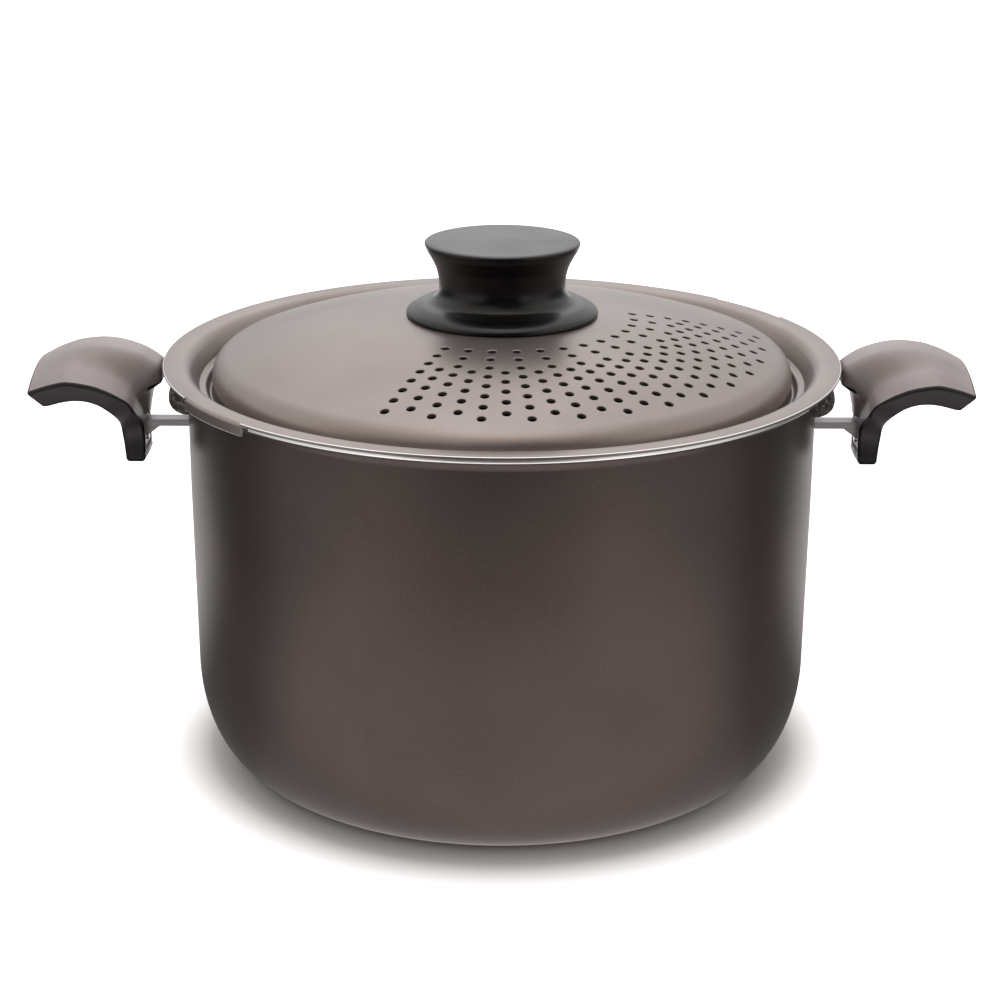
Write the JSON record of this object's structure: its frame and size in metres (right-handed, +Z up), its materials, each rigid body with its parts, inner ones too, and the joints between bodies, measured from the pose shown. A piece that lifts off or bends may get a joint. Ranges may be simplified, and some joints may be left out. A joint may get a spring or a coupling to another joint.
{
  "type": "pasta pot with strainer lid",
  "caption": "Deep cooking pot with two side handles and a knobbed lid that turns to lock on and drains through a fan of holes.",
  "frame": {"origin": "centre of the pot's base, on the surface it stands on", "axes": "+Z up along the pot's axis, X through the two handles, -Y towards the pictured front"},
  "size_m": [0.362, 0.262, 0.2058],
  "materials": {
    "pot_coat": "dark taupe hard coat, satin, fine metallic grain",
    "lid_coat": "warm grey metallic coat, satin, with bare cut edges",
    "lug_cast": "dark coated casting, slightly rough",
    "bracket_steel": "bare pressed steel",
    "handle_plastic": "moulded dark phenolic, satin",
    "knob_plastic": "moulded black phenolic, satin",
    "insert_brass": "turned brass",
    "fastener_steel": "plated screws and washers"
  },
  "bodies": {
    "pot": {"pot_body": "pot_coat", "lock_lug_left": "lug_cast", "lock_lug_right": "lug_cast", "bracket_left": "bracket_steel", "bracket_right": "bracket_steel", "handle_left": "handle_plastic", "handle_right": "handle_plastic", "handle_washer_left": "fastener_steel", "handle_washer_right": "fastener_steel", "handle_screw_left": "fastener_steel", "handle_screw_right": "fastener_steel"},
    "lid_screw": {"knob_screw": "fastener_steel", "knob_washer": "fastener_steel"},
    "lid": {"strainer_lid": "lid_coat", "knob": "knob_plastic", "knob_insert": "insert_brass"}
  },
  "joints": [
    {"name": "lid_lift", "type": "slide", "parent": "pot", "child": "lid_screw", "axis": [0, 0, 1], "range_m": [0, 0.2]},
    {"name": "lid_turn", "type": "hinge", "parent": "lid_screw", "child": "lid", "pos_m": [0, 0, 0.1601], "axis": [0, 0, 1], "range_deg": [-36.5, 0]}
  ]
}
